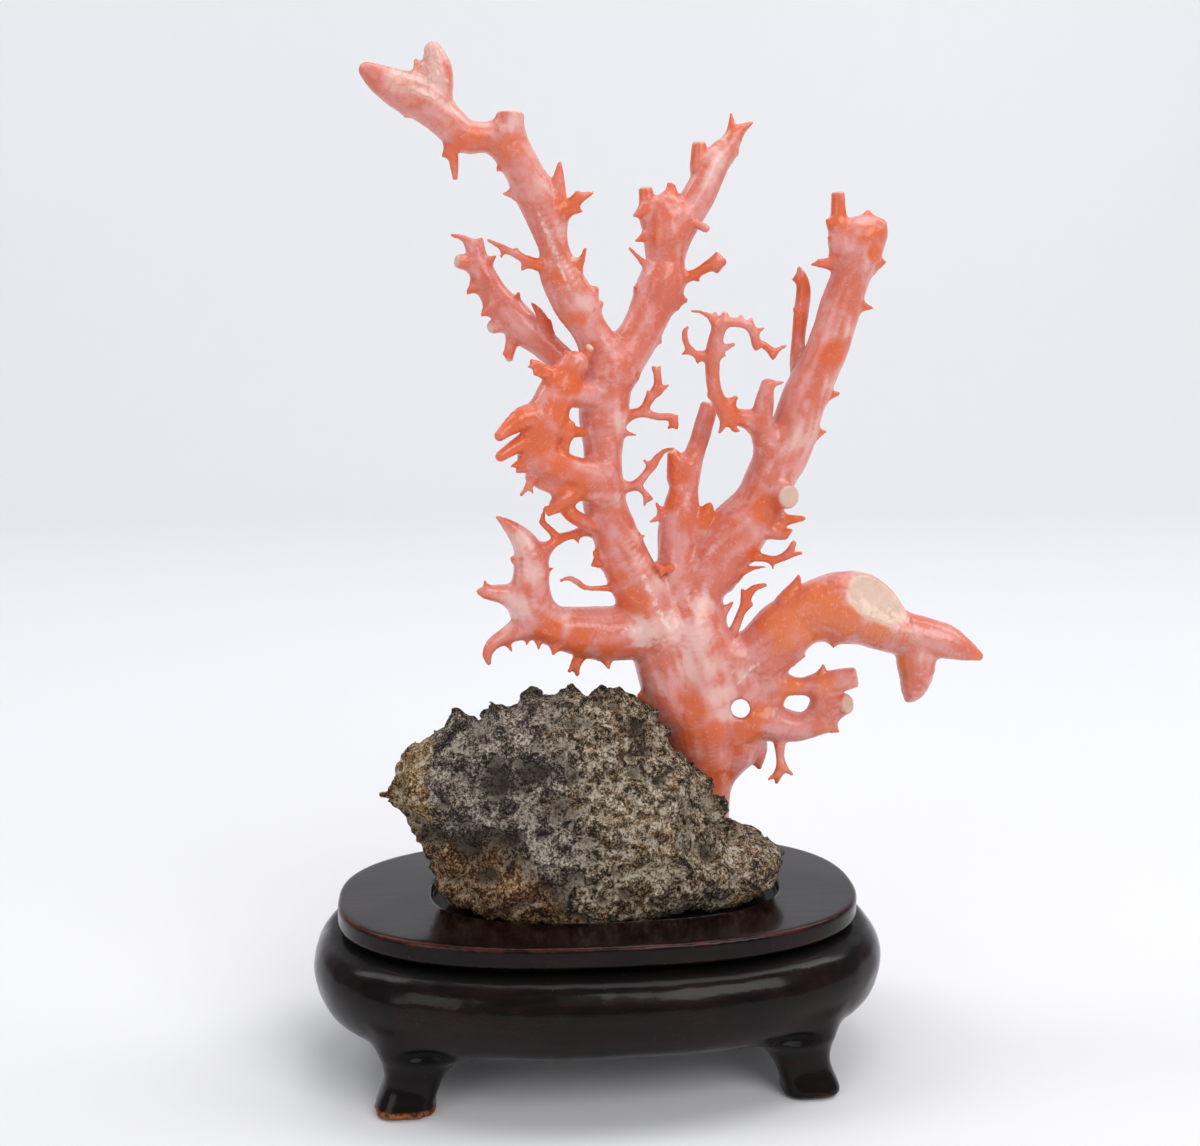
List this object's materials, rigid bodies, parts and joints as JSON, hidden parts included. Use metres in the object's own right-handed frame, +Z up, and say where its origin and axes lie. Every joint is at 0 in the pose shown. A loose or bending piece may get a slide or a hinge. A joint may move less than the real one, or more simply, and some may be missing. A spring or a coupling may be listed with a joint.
{
  "type": "branching coral on a rock and a wooden stand",
  "caption": "Salmon-pink branching coral with thorny limbs, seated in a rough porous rock on an oval carved dark wooden stand with feet.",
  "frame": {"origin": "on the floor, under the middle of the whole object's bounding box", "axes": "+Z up, +X to the right along the stand's long side, -Y towards the front"},
  "size_m": [0.1786, 0.0932, 0.2619],
  "materials": {
    "coral": "polished, salmon pink with orange patches and pale streaks",
    "rock": "rough, porous, grey and ochre with pale grains",
    "wood": "dark brown lacquer, semi-gloss, worn red-brown on its edges"
  },
  "bodies": {
    "root": {"coral_trunk": "coral", "coral_left_arm": "coral", "coral_left_stem": "coral", "coral_front_cluster": "coral", "coral_upper_left": "coral", "coral_top_left": "coral", "coral_top_right": "coral", "coral_middle_stem": "coral", "coral_right_stem": "coral", "coral_hooked_branch": "coral", "coral_claw_arm": "coral", "coral_lower_hand": "coral", "rock": "rock", "stand_top": "wood", "stand_base": "wood"}
  },
  "joints": []
}
